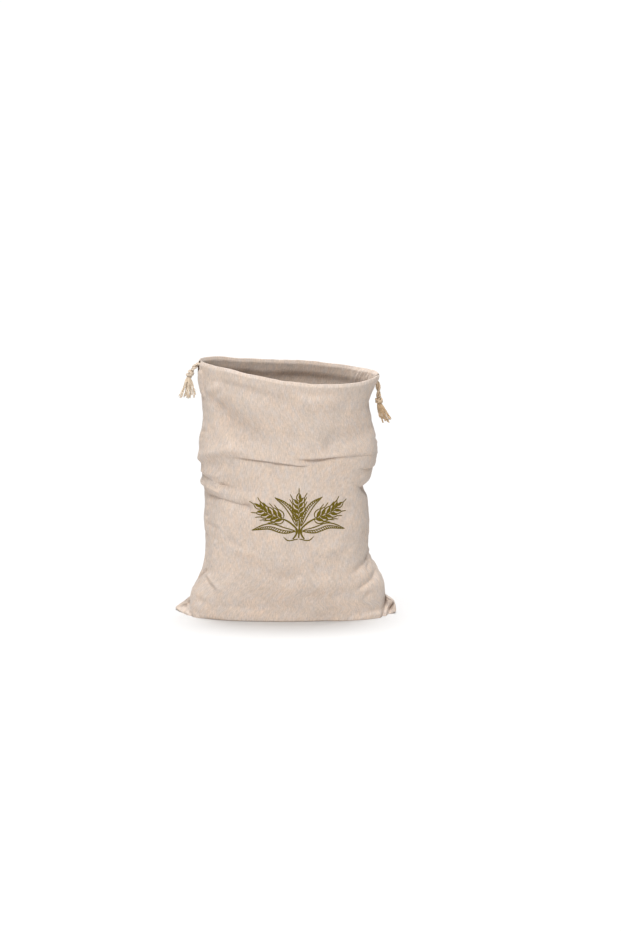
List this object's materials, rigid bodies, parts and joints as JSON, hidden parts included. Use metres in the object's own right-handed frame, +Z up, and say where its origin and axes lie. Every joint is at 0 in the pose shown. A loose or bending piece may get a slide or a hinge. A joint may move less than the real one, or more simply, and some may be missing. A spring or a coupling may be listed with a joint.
{
  "type": "linen drawstring bread bag",
  "caption": "Plain linen drawstring bag standing open and filled out, with a folded hem casing, side slits, two cords, knots and frayed tassels.",
  "frame": {"origin": "on the surface the bag stands on, under the middle of its bounding box without the cords", "axes": "+Z up, the printed front faces -Y, +X to the right seen from the front; the widest extent lies along X and the depth along Y"},
  "size_m": [0.2946, 0.1358, 0.3423],
  "materials": {
    "linen": "matt natural linen, plain weave with slubs",
    "cord": "matt twisted cotton cord, natural tan",
    "tassel": "matt frayed cotton, natural tan"
  },
  "bodies": {
    "root": {"front_panel": "linen", "back_panel": "linen", "cord_left": "cord", "cord_right": "cord", "knot_left": "cord", "knot_right": "cord", "tassel_left": "tassel", "tassel_right": "tassel"}
  },
  "joints": []
}
